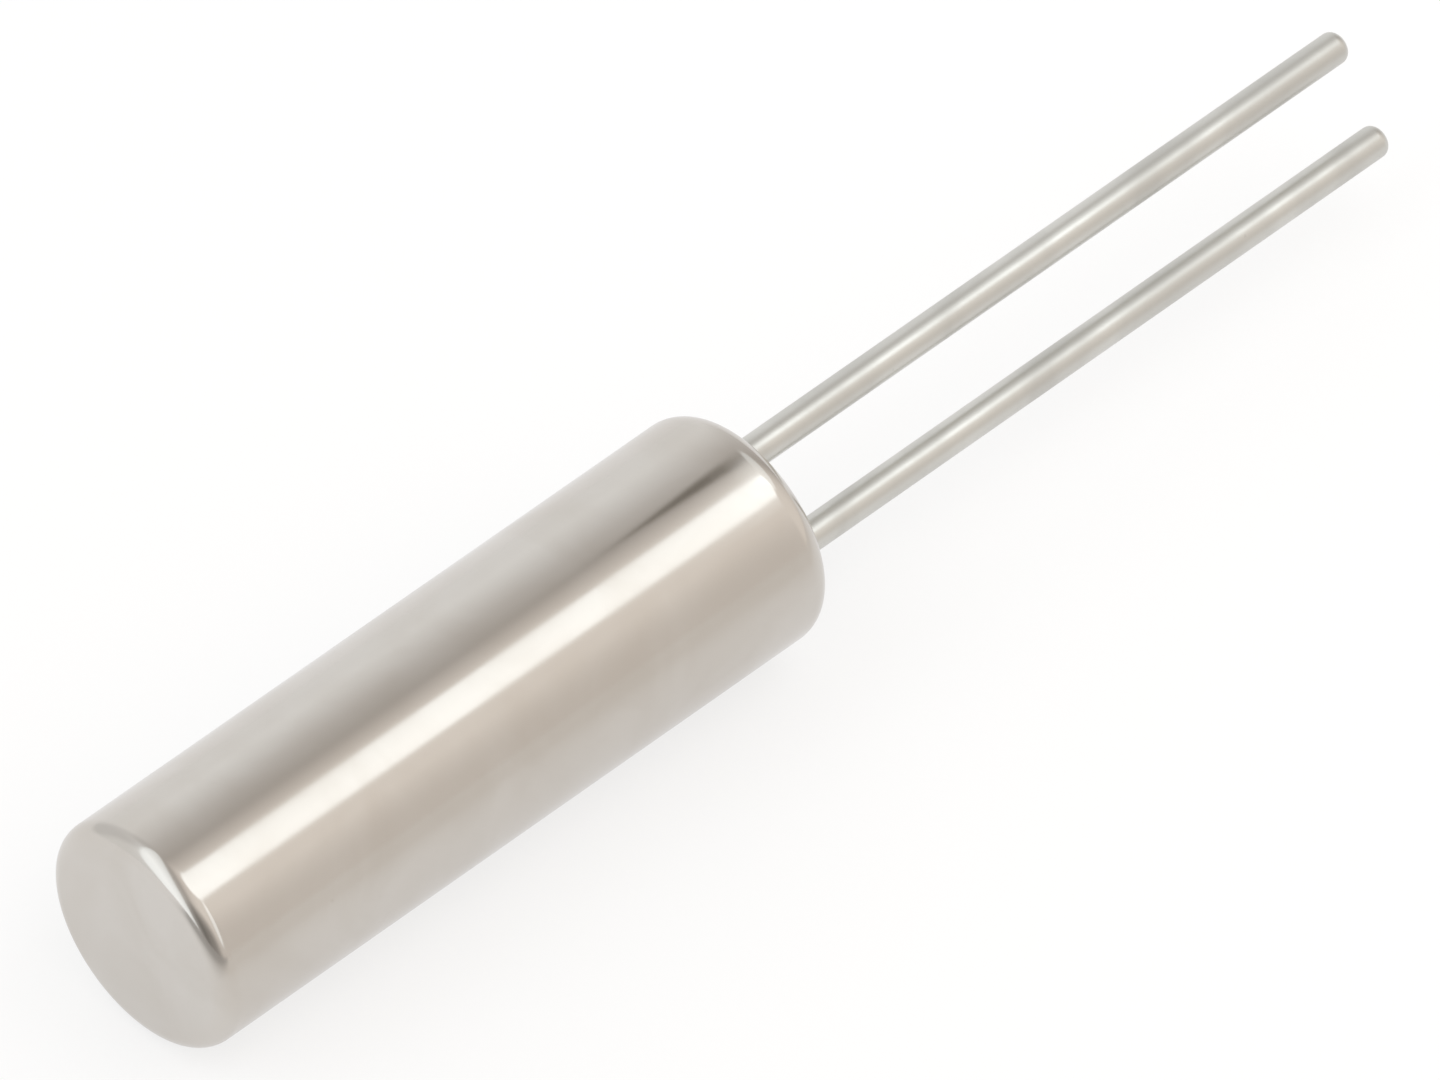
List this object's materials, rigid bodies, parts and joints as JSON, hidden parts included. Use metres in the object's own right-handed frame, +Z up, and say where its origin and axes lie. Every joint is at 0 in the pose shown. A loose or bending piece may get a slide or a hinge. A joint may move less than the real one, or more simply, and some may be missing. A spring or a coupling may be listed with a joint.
{
  "type": "crystal oscillator",
  "caption": "Cylindrical quartz crystal: a sealed drawn metal can on a glass-sealed base with straight tinned leads, and a tuning fork inside that keeps time for a circuit.",
  "frame": {"origin": "on the surface that the can lies on, below the middle of the part's length", "axes": "+X along the can's axis, from the closed end to the lead tips; +Z up from the surface; the lead pair is turned 57 degrees about X from level"},
  "size_m": [0.0124, 0.0018, 0.0019],
  "materials": {
    "can_metal": "drawn nickel silver, polished",
    "ring_metal": "plated iron-nickel alloy",
    "seal_glass": "dark sealing glass, fire polished",
    "tinned_wire": "tinned wire, drawn",
    "quartz": "etched quartz",
    "solder": "solder"
  },
  "bodies": {
    "root": {"can": "can_metal", "seal_ring": "ring_metal", "glass_seal": "seal_glass", "lead_1": "tinned_wire", "lead_2": "tinned_wire", "tuning_fork": "quartz", "solder_joint_1": "solder", "solder_joint_2": "solder"}
  },
  "joints": []
}
